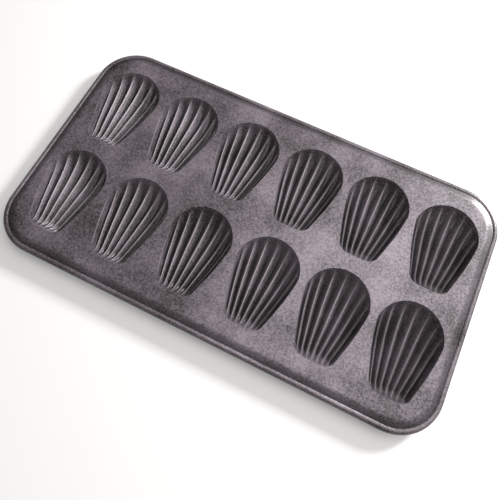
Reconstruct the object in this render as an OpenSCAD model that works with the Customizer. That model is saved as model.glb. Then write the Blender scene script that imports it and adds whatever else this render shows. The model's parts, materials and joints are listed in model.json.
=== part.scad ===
/* [Pan] */
// Length over the rolled edge
pan_len = 400; // [392:1:480]
// Width over the rolled edge
pan_wid = 223; // [218:1:268]
// Corner radius over the rolled edge
corner_r = 38; // [30:1:45]
// Thickness of the sheet
sheet_t = 0.8; // [0.6:0.05:1]
// Width of the border from the bend of the deck to the outer edge
border_w = 10.5; // [9:0.5:14]

/* [Cups] */
// Cups in a row
columns = 6; // [1:1:6]
// Rows of cups
rows = 2; // [1:1:2]
// Distance from cup to cup along a row
column_pitch = 63.1; // [59:0.1:64]
// Distance from row to row
row_pitch = 95.3; // [87:0.1:97]
// Radius of the round end of a cup at the deck
round_end_r = 28; // [22:0.5:28.5]
// Width of the straight end of a cup at the deck
straight_end_w = 34; // [24:1:38]
// Length of a cup at the deck
cup_len = 81; // [65:1:84]
// Depth of a cup at its crests
cup_deep = 11.5; // [8:0.5:16]

/* [Flutes] */
// Flutes in a cup
flutes = 8; // [6:1:9]
// Depth of a flute below the crests beside it
flute_deep = 2; // [0.8:0.1:2.5]
// Angle that the flutes fan over at the round end
fan_angle = 176; // [150:1:178]
// Share of a flute that rises at the straight end
straight_rise = 0.16; // [0.1:0.01:0.3]
// Share of a flute that rises at the round end
round_rise = 0.42; // [0.25:0.01:0.6]

/* [Rolled edge] */
// Diameter of the wire inside the rolled edge
wire_d = 4; // [3:0.1:4.4]
// Gap between the wire and the sheet round it
wire_gap = 0.1; // [0.05:0.05:0.2]
// Drop from the deck to the top of the roll
roll_drop = 1; // [0.6:0.1:2]
// Opening angle of the roll towards the deck
roll_mouth = 44; // [30:1:60]

/* [Hidden] */
$fn = 64;
sheet_colour = [0.24, 0.22, 0.24];
wire_colour = [0.62, 0.62, 0.64];

// Grid of a cup: three steps across each flute, and rows from the straight end to the round end
steps = 3;
across = flutes * steps;
along = 9;
centre_y = cup_len / 2 - round_end_r;

function unit(v) = v / norm(v);

// Share of the length for each row, close together where the ends turn up
row_crowding = 0.085;
function row_at(j) = let (s = j / along) s - row_crowding * sin(360 * s);

// Plan position of a point of the cup, from the straight end to the round end
function across_at(i) = 2 * i / across - 1;
function start_at(u) = [u * straight_end_w / 2, -cup_len / 2];
function end_at(u) = [
    round_end_r * sin(u * fan_angle / 2),
    centre_y + round_end_r * cos(u * fan_angle / 2)
];
function plan_at(u, v) = start_at(u) * (1 - v) + end_at(u) * v;

// Depth of the crests: a bowl across the cup, with rounded rises at both ends
function side_rise(u) = sqrt(max(0, 1 - pow(abs(u), 4)));
function end_rise(v) =
    v < straight_rise ? sqrt(max(0, 1 - pow(1 - v / straight_rise, 2))) :
    v > 1 - round_rise ? sqrt(max(0, 1 - pow((v - 1 + round_rise) / round_rise, 2))) :
    1;
flute_start = 0.55;
function flute_at(i, v) = i % steps == 0 ? 0 : flute_deep * (flute_start + (1 - flute_start) * v);
function edge_point(i, v) = i == 0 || i == across || v <= 0.0001 || v >= 0.9999;
function deep_at(i, v) =
    edge_point(i, v) ? 0 :
    side_rise(across_at(i)) * end_rise(v) * (cup_deep + flute_at(i, v) / (0.55 + 0.45 * v) * (0.55 + 0.45 * v));

function top_point(i, j) =
    let (v = row_at(j), p = plan_at(across_at(i), v))
    [p[0], p[1], -deep_at(i, v)];

// Underside: the top moved along its own normal by the thickness, and straight down at the deck
function normal_at(i, j) =
    let (
        du = top_point(min(i + 1, across), j) - top_point(max(i - 1, 0), j),
        dv = top_point(i, min(j + 1, along)) - top_point(i, max(j - 1, 0))
    )
    unit(cross(du, dv));
function under_point(i, j) =
    i == 0 || i == across || j == 0 || j == along ?
        top_point(i, j) - [0, 0, sheet_t] :
        top_point(i, j) - normal_at(i, j) * sheet_t;

// Height of the deck: the pan stands on the lowest points of its cups at z = 0
base_to_deck = -min([for (j = [0:along]) for (i = [0:across]) under_point(i, j)[2]]);

// Rolled edge, in a section whose x runs outward from the corner's centre and whose y is the height
roll_in = wire_d / 2 + wire_gap;
roll_out = roll_in + sheet_t;
deck_corner_r = corner_r - border_w;
roll_x = corner_r - roll_out;
roll_z = base_to_deck - roll_drop - roll_out;
join_high = 128;
join_low = 160;

function at(i, j) = j * (across + 1) + i;

// One cup of the sheet, with its edge on the deck's top and underside
module cup_skin() {
    count = (across + 1) * (along + 1);
    tops = [for (j = [0:along]) for (i = [0:across]) top_point(i, j)];
    unders = [for (j = [0:along]) for (i = [0:across]) under_point(i, j)];
    top_faces = [
        for (j = [0:along - 1]) for (i = [0:across - 1]) for (half = [0, 1])
            half == 0 ? [at(i, j), at(i + 1, j + 1), at(i + 1, j)] : [at(i, j), at(i, j + 1), at(i + 1, j + 1)]
    ];
    under_faces = [for (f = top_faces) [count + f[0], count + f[2], count + f[1]]];
    loop = [
        for (i = [0:across - 1]) at(i, 0),
        for (j = [0:along - 1]) at(across, j),
        for (i = [across:-1:1]) at(i, along),
        for (j = [along:-1:1]) at(0, j)
    ];
    wall_faces = [
        for (k = [0:len(loop) - 1]) let (a = loop[k], b = loop[(k + 1) % len(loop)])
            for (half = [0, 1])
                half == 0 ? [a, b, count + b] : [a, count + b, count + a]
    ];
    polyhedron(points = concat(tops, unders), faces = concat(top_faces, under_faces, wall_faces));
}

// The same edge as an outline, for the hole that the cup fills
module cup_outline() {
    polygon([
        for (i = [0:across - 1]) plan_at(across_at(i), row_at(0)),
        for (j = [0:along - 1]) plan_at(1, row_at(j)),
        for (i = [across:-1:1]) plan_at(across_at(i), row_at(along)),
        for (j = [along:-1:1]) plan_at(-1, row_at(j))
    ]);
}

module at_each_cup() {
    for (column = [0:columns - 1])
        for (row = [0:rows - 1])
            translate([(column - (columns - 1) / 2) * column_pitch, (row - (rows - 1) / 2) * row_pitch, 0])
                children();
}

// A section carried round the four sides and four corners of the pan
module round_the_edge() {
    side_x = pan_len / 2 - corner_r;
    side_y = pan_wid / 2 - corner_r;
    for (turn = [0, 1]) rotate([0, 0, 180 * turn]) {
        translate([side_x, side_y, 0]) rotate_extrude(angle = 90) children();
        translate([-side_x, side_y, 0]) rotate([0, 0, 90]) rotate_extrude(angle = 90) children();
        translate([side_x, side_y, 0]) rotate([90, 0, 0]) linear_extrude(2 * side_y) children();
        translate([-side_x, side_y, 0]) rotate([90, 0, 90]) linear_extrude(2 * side_x) children();
    }
}

function on_roll(a, r) = [roll_x + r * cos(a), roll_z + r * sin(a)];

// Border that slopes from the deck to the roll, and the roll with its mouth towards the deck
module edge_section() {
    difference() {
        union() {
            translate([roll_x, roll_z]) circle(roll_out);
            polygon([
                [deck_corner_r, base_to_deck],
                on_roll(join_high, roll_out),
                on_roll(join_low, roll_out),
                [deck_corner_r, base_to_deck - sheet_t]
            ]);
        }
        translate([roll_x, roll_z]) circle(roll_in);
        polygon([
            [roll_x, roll_z],
            on_roll(join_low + 12, 2 * roll_out),
            on_roll(join_low + 12 + roll_mouth, 2 * roll_out)
        ]);
    }
}

module deck() {
    side_x = pan_len / 2 - corner_r;
    side_y = pan_wid / 2 - corner_r;
    translate([0, 0, base_to_deck - sheet_t])
        linear_extrude(sheet_t) difference() {
            union() {
                square([2 * side_x, 2 * (side_y + deck_corner_r)], center = true);
                square([2 * (side_x + deck_corner_r), 2 * side_y], center = true);
                for (x = [-side_x, side_x])
                    for (y = [-side_y, side_y])
                        translate([x, y]) circle(deck_corner_r);
            }
            at_each_cup() cup_outline();
        }
}

module pan_sheet() {
    color(sheet_colour) union() {
        deck();
        round_the_edge() edge_section();
        translate([0, 0, base_to_deck]) at_each_cup() cup_skin();
    }
}

module rim_wire() {
    color(wire_colour) round_the_edge() translate([roll_x, roll_z]) circle(wire_d / 2);
}

pan_sheet();
rim_wire();
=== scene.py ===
"""Looks of a madeleine pan: one pressed, coated steel sheet with fluted cups and a wired edge."""

import json
import logging
import math
from dataclasses import dataclass, field
from enum import Enum

import bpy
from mathutils import Matrix, Vector

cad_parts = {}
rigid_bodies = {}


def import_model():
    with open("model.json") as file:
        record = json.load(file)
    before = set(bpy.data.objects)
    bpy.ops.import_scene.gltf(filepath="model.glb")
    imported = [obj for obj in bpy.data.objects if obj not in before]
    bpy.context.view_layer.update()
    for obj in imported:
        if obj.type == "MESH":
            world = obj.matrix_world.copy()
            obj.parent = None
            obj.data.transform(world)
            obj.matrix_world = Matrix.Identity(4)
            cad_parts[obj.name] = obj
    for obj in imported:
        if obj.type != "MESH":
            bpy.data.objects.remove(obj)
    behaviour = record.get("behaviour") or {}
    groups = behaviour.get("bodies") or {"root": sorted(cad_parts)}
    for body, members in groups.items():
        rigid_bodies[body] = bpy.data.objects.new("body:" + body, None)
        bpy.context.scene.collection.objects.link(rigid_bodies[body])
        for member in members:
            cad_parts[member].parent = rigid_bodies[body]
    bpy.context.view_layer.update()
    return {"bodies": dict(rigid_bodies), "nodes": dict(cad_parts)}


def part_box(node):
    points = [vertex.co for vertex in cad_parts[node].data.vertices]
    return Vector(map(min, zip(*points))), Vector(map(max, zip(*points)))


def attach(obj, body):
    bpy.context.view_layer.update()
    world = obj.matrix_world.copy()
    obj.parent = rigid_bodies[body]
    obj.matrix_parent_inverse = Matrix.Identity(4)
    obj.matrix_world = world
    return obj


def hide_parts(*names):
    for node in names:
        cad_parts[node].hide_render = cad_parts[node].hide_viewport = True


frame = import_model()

LOG = logging.getLogger("madeleine_pan")
MM = 0.001
SAME = 1e-6  # points and heights nearer than this, in metres, are taken as one
BODY = next(iter(frame["bodies"]))

Colour = tuple[float, float, float]
Triple = tuple[float, float, float]


class Slot(Enum):
    """Material slots of the record."""

    SHEET = "coated_sheet"
    WIRE = "wire"


def link(tree: bpy.types.NodeTree, start: bpy.types.NodeSocket, end: bpy.types.NodeSocket) -> None:
    """Joins two sockets of a node tree."""
    tree.links.new(start, end)


def add_node(tree: bpy.types.NodeTree, kind: str, inputs: dict | None = None,
             **settings: object) -> bpy.types.Node:
    """Adds a node with its settings and its unlinked values.

    Args:
        tree: the node tree.
        kind: the node's type, without the word ShaderNode.
        inputs: values by the input's name or number.
        **settings: attributes of the node, set before its values.

    Returns:
        The new node.
    """
    node = tree.nodes.new("ShaderNode" + kind)
    for name, value in settings.items():
        setattr(node, name, value)
    for key, value in (inputs or {}).items():
        node.inputs[key].default_value = value
    return node


def open_group(name: str, takes: dict[str, str],
               gives: dict[str, str]) -> tuple[bpy.types.NodeTree, bpy.types.Node, bpy.types.Node]:
    """Makes an empty shader group with its sockets.

    Args:
        name: the group's name.
        takes: the kind of each input, by name.
        gives: the kind of each output, by name.

    Returns:
        The node tree, its input node and its output node.
    """
    tree = bpy.data.node_groups.new(name, "ShaderNodeTree")
    for way, sockets in (("INPUT", takes), ("OUTPUT", gives)):
        for label, kind in sockets.items():
            tree.interface.new_socket(label, in_out=way, socket_type="NodeSocket" + kind)
    return tree, tree.nodes.new("NodeGroupInput"), tree.nodes.new("NodeGroupOutput")


def sole_selection(piece: bpy.types.Object) -> None:
    """Selects one object and makes it active.

    Args:
        piece: the object.
    """
    bpy.ops.object.select_all(action="DESELECT")
    piece.select_set(True)
    bpy.context.view_layer.objects.active = piece


@dataclass(frozen=True)
class Span:
    """A span of one value, spread over a span of another and held at its ends."""

    start: float
    end: float
    low: float = 0.0
    high: float = 1.0

    def spread(self, tree: bpy.types.NodeTree, source: bpy.types.NodeSocket) -> bpy.types.NodeSocket:
        """Adds the node that spreads a value.

        Args:
            tree: the node tree.
            source: the socket that gives the value.

        Returns:
            The socket of the spread value.
        """
        node = add_node(tree, "MapRange", {"From Min": self.start, "From Max": self.end,
                                           "To Min": self.low, "To Max": self.high})
        link(tree, source, node.inputs["Value"])
        return node.outputs["Result"]


@dataclass(frozen=True)
class MottleGroup:
    """Shader group for the fleck, cloudiness and grain of a sprayed or drawn metal surface."""

    name: str = "surface_mottle"
    fleck_detail: float = 3.0
    fleck_roughness: float = 0.65
    fleck_share: float = 0.55
    cloud_detail: float = 4.0
    cloud_share: float = 0.45
    tones: Span = Span(0.36, 0.64)

    def build(self) -> bpy.types.NodeTree:
        """Makes the group once.

        Returns:
            The node tree, with colour, roughness and height outputs.
        """
        made = bpy.data.node_groups.get(self.name)
        if made:
            return made
        tree, given, result = open_group(
            self.name,
            {"Dark": "Color", "Light": "Color", "Fleck Scale": "Float", "Cloud Scale": "Float",
             "Roughness": "Float", "Roughness Spread": "Float"},
            {"Color": "Color", "Roughness": "Float", "Height": "Float"})
        place = add_node(tree, "TexCoord")
        fleck = add_node(tree, "TexNoise", {"Detail": self.fleck_detail, "Roughness": self.fleck_roughness})
        cloud = add_node(tree, "TexNoise", {"Detail": self.cloud_detail})
        speck = add_node(tree, "TexVoronoi")
        for texture, scale in ((fleck, "Fleck Scale"), (cloud, "Cloud Scale"), (speck, "Fleck Scale")):
            link(tree, place.outputs["Object"], texture.inputs["Vector"])
            link(tree, given.outputs[scale], texture.inputs["Scale"])
        cloud_part = add_node(tree, "Math", {1: self.cloud_share}, operation="MULTIPLY")
        link(tree, cloud.outputs["Fac"], cloud_part.inputs[0])
        blend = add_node(tree, "Math", {1: self.fleck_share}, operation="MULTIPLY_ADD")
        link(tree, fleck.outputs["Fac"], blend.inputs[0])
        link(tree, cloud_part.outputs[0], blend.inputs[2])
        colour = add_node(tree, "Mix", data_type="RGBA")
        link(tree, self.tones.spread(tree, blend.outputs[0]), colour.inputs["Factor"])
        link(tree, given.outputs["Dark"], colour.inputs["A"])
        link(tree, given.outputs["Light"], colour.inputs["B"])
        rough = add_node(tree, "Math", operation="MULTIPLY_ADD")
        link(tree, speck.outputs["Distance"], rough.inputs[0])
        link(tree, given.outputs["Roughness Spread"], rough.inputs[1])
        link(tree, given.outputs["Roughness"], rough.inputs[2])
        link(tree, colour.outputs["Result"], result.inputs["Color"])
        link(tree, rough.outputs[0], result.inputs["Roughness"])
        link(tree, blend.outputs[0], result.inputs["Height"])
        return tree


@dataclass(frozen=True)
class RidgeWearAndHollowShadeGroup:
    """Shader group that bares the worn ridges below the deck and paints shade into the hollows, darkening the
    colour where pointiness is low.
    """

    name: str = "ridge_wear_and_painted_hollow_shade"
    ridges: Span = Span(0.515, 0.57, high=0.75)
    # painted shade: darkens the colour in the hollows, where pointiness is low
    painted_hollow_shade: Span = Span(0.455, 0.50, low=0.18)
    below_deck: Span = Span(11.5 * MM, 13.2 * MM, low=1.0, high=0.0)

    def build(self) -> bpy.types.NodeTree:
        """Makes the group once.

        Returns:
            The node tree, with a colour output.
        """
        made = bpy.data.node_groups.get(self.name)
        if made:
            return made
        tree, given, result = open_group(self.name, {"Color": "Color", "Worn": "Color"}, {"Color": "Color"})
        surface = add_node(tree, "NewGeometry")
        place = add_node(tree, "TexCoord")
        split = add_node(tree, "SeparateXYZ")
        link(tree, place.outputs["Object"], split.inputs["Vector"])
        wear = add_node(tree, "Math", operation="MULTIPLY")
        link(tree, self.ridges.spread(tree, surface.outputs["Pointiness"]), wear.inputs[0])
        link(tree, self.below_deck.spread(tree, split.outputs["Z"]), wear.inputs[1])
        bared = add_node(tree, "Mix", data_type="RGBA")
        link(tree, wear.outputs[0], bared.inputs["Factor"])
        link(tree, given.outputs["Color"], bared.inputs["A"])
        link(tree, given.outputs["Worn"], bared.inputs["B"])
        # painted shade in the hollows: the colour is scaled down where pointiness is low
        hollow_shaded = add_node(tree, "VectorMath", operation="SCALE")
        link(tree, bared.outputs["Result"], hollow_shaded.inputs[0])
        link(tree, self.painted_hollow_shade.spread(tree, surface.outputs["Pointiness"]), hollow_shaded.inputs["Scale"])
        link(tree, hollow_shaded.outputs["Vector"], result.inputs["Color"])
        return tree


@dataclass(frozen=True)
class Finish:
    """A metal finish made of the shared mottle, edge wear and painted shade in the hollows."""

    name: str
    dark: Colour
    light: Colour
    worn: Colour
    metallic: float
    roughness: float
    roughness_spread: float
    bump: float
    fleck_scale: float
    cloud_scale: float = 26.0
    grain_height: float = 0.1 * MM

    def build(self) -> bpy.types.Material:
        """Makes the material.

        Returns:
            The finished material.
        """
        material = bpy.data.materials.new(self.name)
        material.use_nodes = True
        tree = material.node_tree
        shader = tree.nodes["Principled BSDF"]
        shader.inputs["Metallic"].default_value = self.metallic
        mottle = add_node(tree, "Group", {
            "Dark": (*self.dark, 1.0), "Light": (*self.light, 1.0), "Fleck Scale": self.fleck_scale,
            "Cloud Scale": self.cloud_scale, "Roughness": self.roughness,
            "Roughness Spread": self.roughness_spread}, node_tree=MottleGroup().build())
        # this group bares worn ridges and also paints shade into the hollows of the colour
        wear = add_node(tree, "Group", {"Worn": (*self.worn, 1.0)}, node_tree=RidgeWearAndHollowShadeGroup().build())
        link(tree, mottle.outputs["Color"], wear.inputs["Color"])
        link(tree, wear.outputs["Color"], shader.inputs["Base Color"])
        link(tree, mottle.outputs["Roughness"], shader.inputs["Roughness"])
        bump = add_node(tree, "Bump", {"Strength": self.bump, "Distance": self.grain_height})
        link(tree, mottle.outputs["Height"], bump.inputs["Height"])
        link(tree, bump.outputs["Normal"], shader.inputs["Normal"])
        return material


COATING = Finish("nonstick_coating", (0.016, 0.012, 0.013), (0.190, 0.160, 0.180), (0.40, 0.37, 0.39),
                 metallic=0.38, roughness=0.33, roughness_spread=0.20, bump=0.7, fleck_scale=620.0)
DRAWN_WIRE = Finish("drawn_wire", (0.40, 0.40, 0.42), (0.62, 0.62, 0.64), (0.75, 0.75, 0.76),
                    metallic=1.0, roughness=0.28, roughness_spread=0.12, bump=0.2, fleck_scale=400.0)


@dataclass
class FlutedCup:
    """One shell cup of the sheet: flutes that fan from a straight end to a round end."""

    flutes: int = 8
    columns_per_flute: int = 8
    rows: int = 40
    straight_end_w: float = 34 * MM
    round_end_r: float = 28 * MM
    length: float = 81 * MM
    crest_depth: float = 8.0 * MM
    flute_depth: float = 6.1 * MM
    straight_end_share: float = 0.55
    channel_power: float = 1.7
    fan_angle: float = math.radians(176)
    straight_rise: float = 0.16
    round_rise: float = 0.42
    shoulder: float = 0.05
    corner_lift: float = 5.5 * MM
    corner_power: int = 5
    side_swell: float = 0.055
    side_power: int = 4
    side_rise: float = 0.02
    end_crowding: float = 0.085

    def plan(self, u: float, v: float) -> tuple[float, float]:
        """Place of a grid point on the deck.

        Args:
            u: place across the cup, from -1 to 1.
            v: place from the straight end at 0 to the round end at 1.

        Returns:
            The x and y of the point from the cup's centre.
        """
        middle = self.length / 2 - self.round_end_r
        angle = u * self.fan_angle / 2
        lift = self.corner_lift * abs(u) ** self.corner_power
        start = (u * self.straight_end_w / 2, -self.length / 2 + lift)
        end = (self.round_end_r * math.sin(angle), middle + self.round_end_r * math.cos(angle))
        swell = 1 + self.side_swell * math.sin(math.pi * v)
        return (start[0] + (end[0] - start[0]) * v) * swell, start[1] + (end[1] - start[1]) * v

    def soft_rise(self, share: float) -> float:
        """Rounded fall from the deck to the floor, with a soft shoulder.

        Args:
            share: how far the point is along the fall, 0 at the outline.

        Returns:
            The share of the full depth, 1 past the end of the fall.
        """
        if share >= 1:
            return 1.0
        rounded = math.sqrt(max(0.0, 1 - (1 - share) ** 2))
        return rounded * share / (share + self.shoulder) * (1 + self.shoulder)

    def depth(self, u: float, v: float) -> float:
        """Depth of the floor below the deck.

        Args:
            u: place across the cup, from -1 to 1.
            v: place from the straight end to the round end, from 0 to 1.

        Returns:
            The depth in metres, 0 on the outline.
        """
        ends = self.soft_rise(v / self.straight_rise) * self.soft_rise((1 - v) / self.round_rise)
        side = math.sqrt(max(0.0, 1 - abs(u) ** self.side_power)) * min(1.0, (1 - abs(u)) / self.side_rise)
        place = (u + 1) / 2 * self.flutes
        from_channel = abs(2 * (place - math.floor(place)) - 1)
        reach = self.straight_end_share + (1 - self.straight_end_share) * v
        channel = (1 - from_channel ** self.channel_power) * reach * self.flute_depth
        return ends * side * (self.crest_depth + channel)

    def add_grid(self, deck_z: float) -> bpy.types.Object:
        """Adds a grid and bends it into the upper skin of a cup centred on the pan.

        Args:
            deck_z: height of the deck.

        Returns:
            The cup's object.
        """
        columns = self.flutes * self.columns_per_flute
        bpy.ops.object.select_all(action="DESELECT")
        bpy.ops.mesh.primitive_grid_add(x_subdivisions=columns, y_subdivisions=self.rows, size=2)
        grid = bpy.context.object
        for vertex in grid.data.vertices:
            u = max(-1.0, min(1.0, vertex.co.x))
            even = (max(-1.0, min(1.0, vertex.co.y)) + 1) / 2
            v = even - self.end_crowding * math.sin(2 * math.pi * even)
            vertex.co = (*self.plan(u, v), deck_z - self.depth(u, v))
        return grid


@dataclass
class RolledEdge:
    """Border that turns down from the deck and rolls round the wire."""

    length: float
    width: float
    deck_z: float
    corner_r: float = 38 * MM
    border_w: float = 10.5 * MM
    border_bend: tuple[tuple[float, float], ...] = (
        (-2 * MM, 0.0), (-1 * MM, 0.03 * MM), (0.0, 0.16 * MM), (1 * MM, 0.45 * MM))
    roll_r: float = 2.9 * MM
    roll_start: float = math.radians(130)
    roll_turn: float = math.radians(274)
    roll_steps: int = 24
    drop: float = 1.0 * MM
    corner_steps: int = 16

    def section(self) -> list[tuple[float, float]]:
        """Outer face of the border and roll.

        Returns:
            Points of distance from the corner's centre and height.
        """
        start = self.corner_r - self.border_w
        points = [(start + out, self.deck_z - fall) for out, fall in self.border_bend]
        middle = (self.corner_r - self.roll_r, self.deck_z - self.drop - self.roll_r)
        for step in range(self.roll_steps + 1):
            angle = self.roll_start - step * self.roll_turn / self.roll_steps
            points.append((middle[0] + self.roll_r * math.cos(angle),
                           middle[1] + self.roll_r * math.sin(angle)))
        return points

    def stations(self) -> list[tuple[float, float, float]]:
        """Places of the section round the pan.

        Returns:
            The corner's centre, x and y, and the outward direction of each station.
        """
        half_x = self.length / 2 - self.corner_r
        half_y = self.width / 2 - self.corner_r
        centres = ((half_x, half_y), (-half_x, half_y), (-half_x, -half_y), (half_x, -half_y))
        return [(*centre, math.pi / 2 * (corner + step / self.corner_steps))
                for corner, centre in enumerate(centres) for step in range(self.corner_steps + 1)]

    def add_strip(self) -> bpy.types.Object:
        """Adds a grid and bends it round the pan.

        Returns:
            The object of the border and roll, as one skin.
        """
        section = self.section()
        stations = self.stations()
        bpy.ops.object.select_all(action="DESELECT")
        bpy.ops.mesh.primitive_grid_add(x_subdivisions=len(stations), y_subdivisions=len(section) - 1, size=2)
        strip = bpy.context.object
        for vertex in strip.data.vertices:
            along = round((vertex.co.x + 1) / 2 * len(stations)) % len(stations)
            across = round((vertex.co.y + 1) / 2 * (len(section) - 1))
            x, y, angle = stations[along]
            radius, height = section[across]
            vertex.co = (x + radius * math.cos(angle), y + radius * math.sin(angle), height)
        return strip


@dataclass
class FormedSheet:
    """The pressed sheet: deck, cups, border and roll in one skin with its thickness."""

    cup: FlutedCup = field(default_factory=FlutedCup)
    columns: int = 6
    rows: int = 2
    column_pitch: float = 63.1 * MM
    row_pitch: float = 95.3 * MM
    thickness: float = 0.8 * MM
    smooth_below: float = math.radians(34)

    def build(self) -> bpy.types.Object:
        """Builds the sheet and dresses it.

        Returns:
            The finished piece.
        """
        low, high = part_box("pan_sheet")
        deck_z = high[2]
        edge = RolledEdge(high[0] - low[0], high[1] - low[1], deck_z)
        sheet = self.join([edge.add_strip(), *self.set_out_cups(deck_z)])
        self.mark_deck_rims(sheet, deck_z)
        self.fill_deck(sheet)
        self.thicken(sheet)
        sheet.name = "formed_sheet"
        sheet.data.materials.append(COATING.build())
        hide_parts("pan_sheet")
        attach(sheet, BODY)
        LOG.info("formed_sheet: %d faces", len(sheet.data.polygons))
        return sheet

    def set_out_cups(self, deck_z: float) -> list[bpy.types.Object]:
        """Models one cup and copies it to its places.

        Args:
            deck_z: height of the deck.

        Returns:
            The cups, each with its own mesh.
        """
        model = self.cup.add_grid(deck_z)
        cups = []
        for column in range(self.columns):
            for row in range(self.rows):
                sole_selection(model)
                bpy.ops.object.duplicate(linked=False)
                bpy.ops.transform.translate(value=((column - (self.columns - 1) / 2) * self.column_pitch,
                                                   (row - (self.rows - 1) / 2) * self.row_pitch, 0.0))
                cups.append(bpy.context.object)
        bpy.data.objects.remove(model)
        return cups

    def join(self, parts: list[bpy.types.Object]) -> bpy.types.Object:
        """Joins the patches into one mesh.

        Args:
            parts: the border strip and the cups.

        Returns:
            The joined object.
        """
        bpy.ops.object.select_all(action="DESELECT")
        for part in parts:
            part.select_set(True)
        bpy.context.view_layer.objects.active = parts[0]
        bpy.ops.object.join()
        return bpy.context.object

    def mark_deck_rims(self, sheet: bpy.types.Object, deck_z: float) -> None:
        """Merges the strip's ends and selects the open edges that lie on the deck.

        Args:
            sheet: the joined patches.
            deck_z: height of the deck.
        """
        sole_selection(sheet)
        bpy.ops.object.mode_set(mode="EDIT")
        bpy.ops.mesh.select_all(action="SELECT")
        bpy.ops.mesh.remove_doubles(threshold=SAME)
        bpy.ops.mesh.select_all(action="DESELECT")
        bpy.ops.mesh.select_mode(type="EDGE")
        bpy.ops.mesh.select_non_manifold(extend=False, use_boundary=True, use_wire=False,
                                         use_multi_face=False, use_non_contiguous=False, use_verts=False)
        bpy.ops.object.mode_set(mode="OBJECT")
        points = sheet.data.vertices
        for edge in sheet.data.edges:
            level = all(abs(points[index].co.z - deck_z) < SAME for index in edge.vertices)
            edge.select = edge.select and level

    def fill_deck(self, sheet: bpy.types.Object) -> None:
        """Fills the flat deck between the marked rims and turns the skin's faces upwards.

        Args:
            sheet: the skin, with the deck's rims selected.
        """
        bpy.ops.object.mode_set(mode="EDIT")
        bpy.ops.mesh.fill(use_beauty=True)
        bpy.ops.mesh.select_all(action="SELECT")
        bpy.ops.mesh.normals_make_consistent(inside=False)
        bpy.ops.object.mode_set(mode="OBJECT")
        cup_floor = min(sheet.data.polygons, key=lambda face: face.center.z)
        if cup_floor.normal.z < 0:
            bpy.ops.object.mode_set(mode="EDIT")
            bpy.ops.mesh.select_all(action="SELECT")
            bpy.ops.mesh.flip_normals()
            bpy.ops.object.mode_set(mode="OBJECT")

    def thicken(self, sheet: bpy.types.Object) -> None:
        """Gives the skin its thickness, below and inside it.

        Args:
            sheet: the filled skin.
        """
        wall = sheet.modifiers.new("thickness", "SOLIDIFY")
        wall.thickness = self.thickness
        wall.offset = -1.0
        wall.use_even_offset = False
        sole_selection(sheet)
        bpy.ops.object.modifier_apply(modifier=wall.name)
        bpy.ops.object.shade_smooth_by_angle(angle=self.smooth_below)


@dataclass
class EdgeWire:
    """The closed wire inside the roll: its CAD shape is right, so it only gets its finish."""

    node: str = "rim_wire"

    def dress(self) -> None:
        """Puts the wire's finish on the CAD node."""
        piece = frame["nodes"][self.node]
        material = DRAWN_WIRE.build()
        if not piece.material_slots:
            piece.data.materials.append(material)
        for slot in piece.material_slots:
            slot.material = material
        LOG.info("%s: finish of slot %s set", self.node, Slot.WIRE.value)


@dataclass(frozen=True)
class Lamp:
    """A soft square light that faces the pan's centre."""

    name: str
    place: Triple
    size: float
    power: float

    def add(self) -> None:
        """Adds the light."""
        data = bpy.data.lights.new(self.name, "AREA")
        data.shape = "SQUARE"
        data.size = self.size
        data.energy = self.power
        lamp = bpy.data.objects.new(self.name, data)
        lamp.location = self.place
        lamp.rotation_euler = Vector(self.place).to_track_quat("Z", "Y").to_euler()
        bpy.context.scene.collection.objects.link(lamp)


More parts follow.
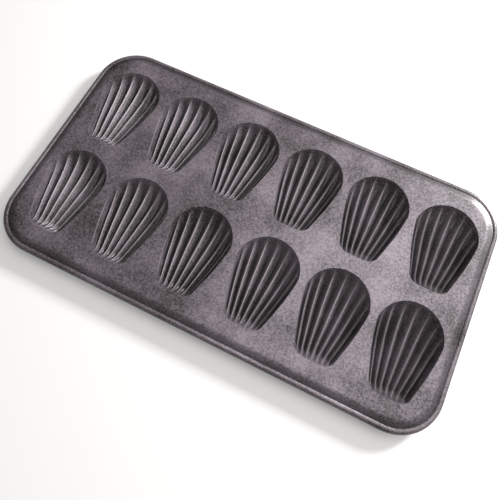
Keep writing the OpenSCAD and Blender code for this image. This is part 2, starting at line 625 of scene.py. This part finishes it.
@dataclass
class Studio:
    """Pale floor, soft lights and the camera at the photograph's angle."""

    floor_size: float = 8.0
    floor_colour: Colour = (0.56, 0.55, 0.54)
    floor_roughness: float = 0.9
    floor_lift: float = 0.20
    world_colour: Colour = (1.0, 0.985, 0.97)
    world_strength: float = 0.20
    lamps: tuple[Lamp, ...] = (Lamp("overhead_right", (0.36, 0.26, 0.95), 1.1, 11.5),
                               Lamp("back_right", (0.85, 1.10, 0.64), 0.25, 48.0))
    focal_px: float = 431.75
    frame_px: float = 500.0
    sensor_mm: float = 36.0
    nearest: float = 10 * MM
    eye_above_deck: Triple = (0.0575, -0.1310, 0.3478)
    right: Triple = (0.89901, 0.43773, 0.01305)
    down: Triple = (0.41984, -0.85303, -0.30995)
    forward: Triple = (-0.12454, 0.28412, -0.95066)

    def add_floor(self) -> None:
        """Adds the floor, lifted to white for the camera, which keeps the pan's shadow."""
        bpy.ops.object.select_all(action="DESELECT")
        bpy.ops.mesh.primitive_plane_add(size=self.floor_size)
        floor = bpy.context.object
        floor.name = "floor"
        material = bpy.data.materials.new("pale_floor")
        material.use_nodes = True
        tree = material.node_tree
        shader = tree.nodes["Principled BSDF"]
        shader.inputs["Base Color"].default_value = (*self.floor_colour, 1)
        shader.inputs["Roughness"].default_value = self.floor_roughness
        shader.inputs["Specular IOR Level"].default_value = 0.0
        shader.inputs["Emission Color"].default_value = (1, 1, 1, 1)
        rays = add_node(tree, "LightPath")
        seen = add_node(tree, "Math", operation="MAXIMUM")
        link(tree, rays.outputs["Is Camera Ray"], seen.inputs[0])
        link(tree, rays.outputs["Is Glossy Ray"], seen.inputs[1])
        lift = add_node(tree, "Math", {1: self.floor_lift}, operation="MULTIPLY")
        link(tree, seen.outputs[0], lift.inputs[0])
        link(tree, lift.outputs[0], shader.inputs["Emission Strength"])
        floor.data.materials.append(material)

    def add_world(self) -> None:
        """Sets a soft even world light."""
        world = bpy.data.worlds.new("studio_world")
        world.use_nodes = True
        back = world.node_tree.nodes["Background"]
        back.inputs["Color"].default_value = (*self.world_colour, 1)
        back.inputs["Strength"].default_value = self.world_strength
        bpy.context.scene.world = world

    def add_camera(self) -> None:
        """Places the camera where the photograph was taken from."""
        deck_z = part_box("pan_sheet")[1][2]
        axes = Matrix((Vector(self.right), -Vector(self.down), -Vector(self.forward)))
        data = bpy.data.cameras.new("camera")
        data.sensor_width = self.sensor_mm
        data.lens = self.focal_px / self.frame_px * self.sensor_mm
        data.clip_start = self.nearest
        camera = bpy.data.objects.new("camera", data)
        eye = Vector(self.eye_above_deck) + Vector((0, 0, deck_z))
        camera.matrix_world = Matrix.Translation(eye) @ axes.transposed().to_4x4()
        bpy.context.scene.collection.objects.link(camera)
        bpy.context.scene.camera = camera

    def build(self) -> None:
        """Sets the whole stage."""
        self.add_floor()
        self.add_world()
        for lamp in self.lamps:
            lamp.add()
        self.add_camera()
        bpy.context.scene.view_settings.view_transform = "Standard"
        LOG.info("studio: floor, world, %d lights and the camera", len(self.lamps))


def main() -> None:
    """Builds the pan and its stage in order."""
    logging.basicConfig(level=logging.INFO, format="%(message)s")
    Studio().build()
    FormedSheet().build()
    EdgeWire().dress()


if __name__ == "__main__":
    main()
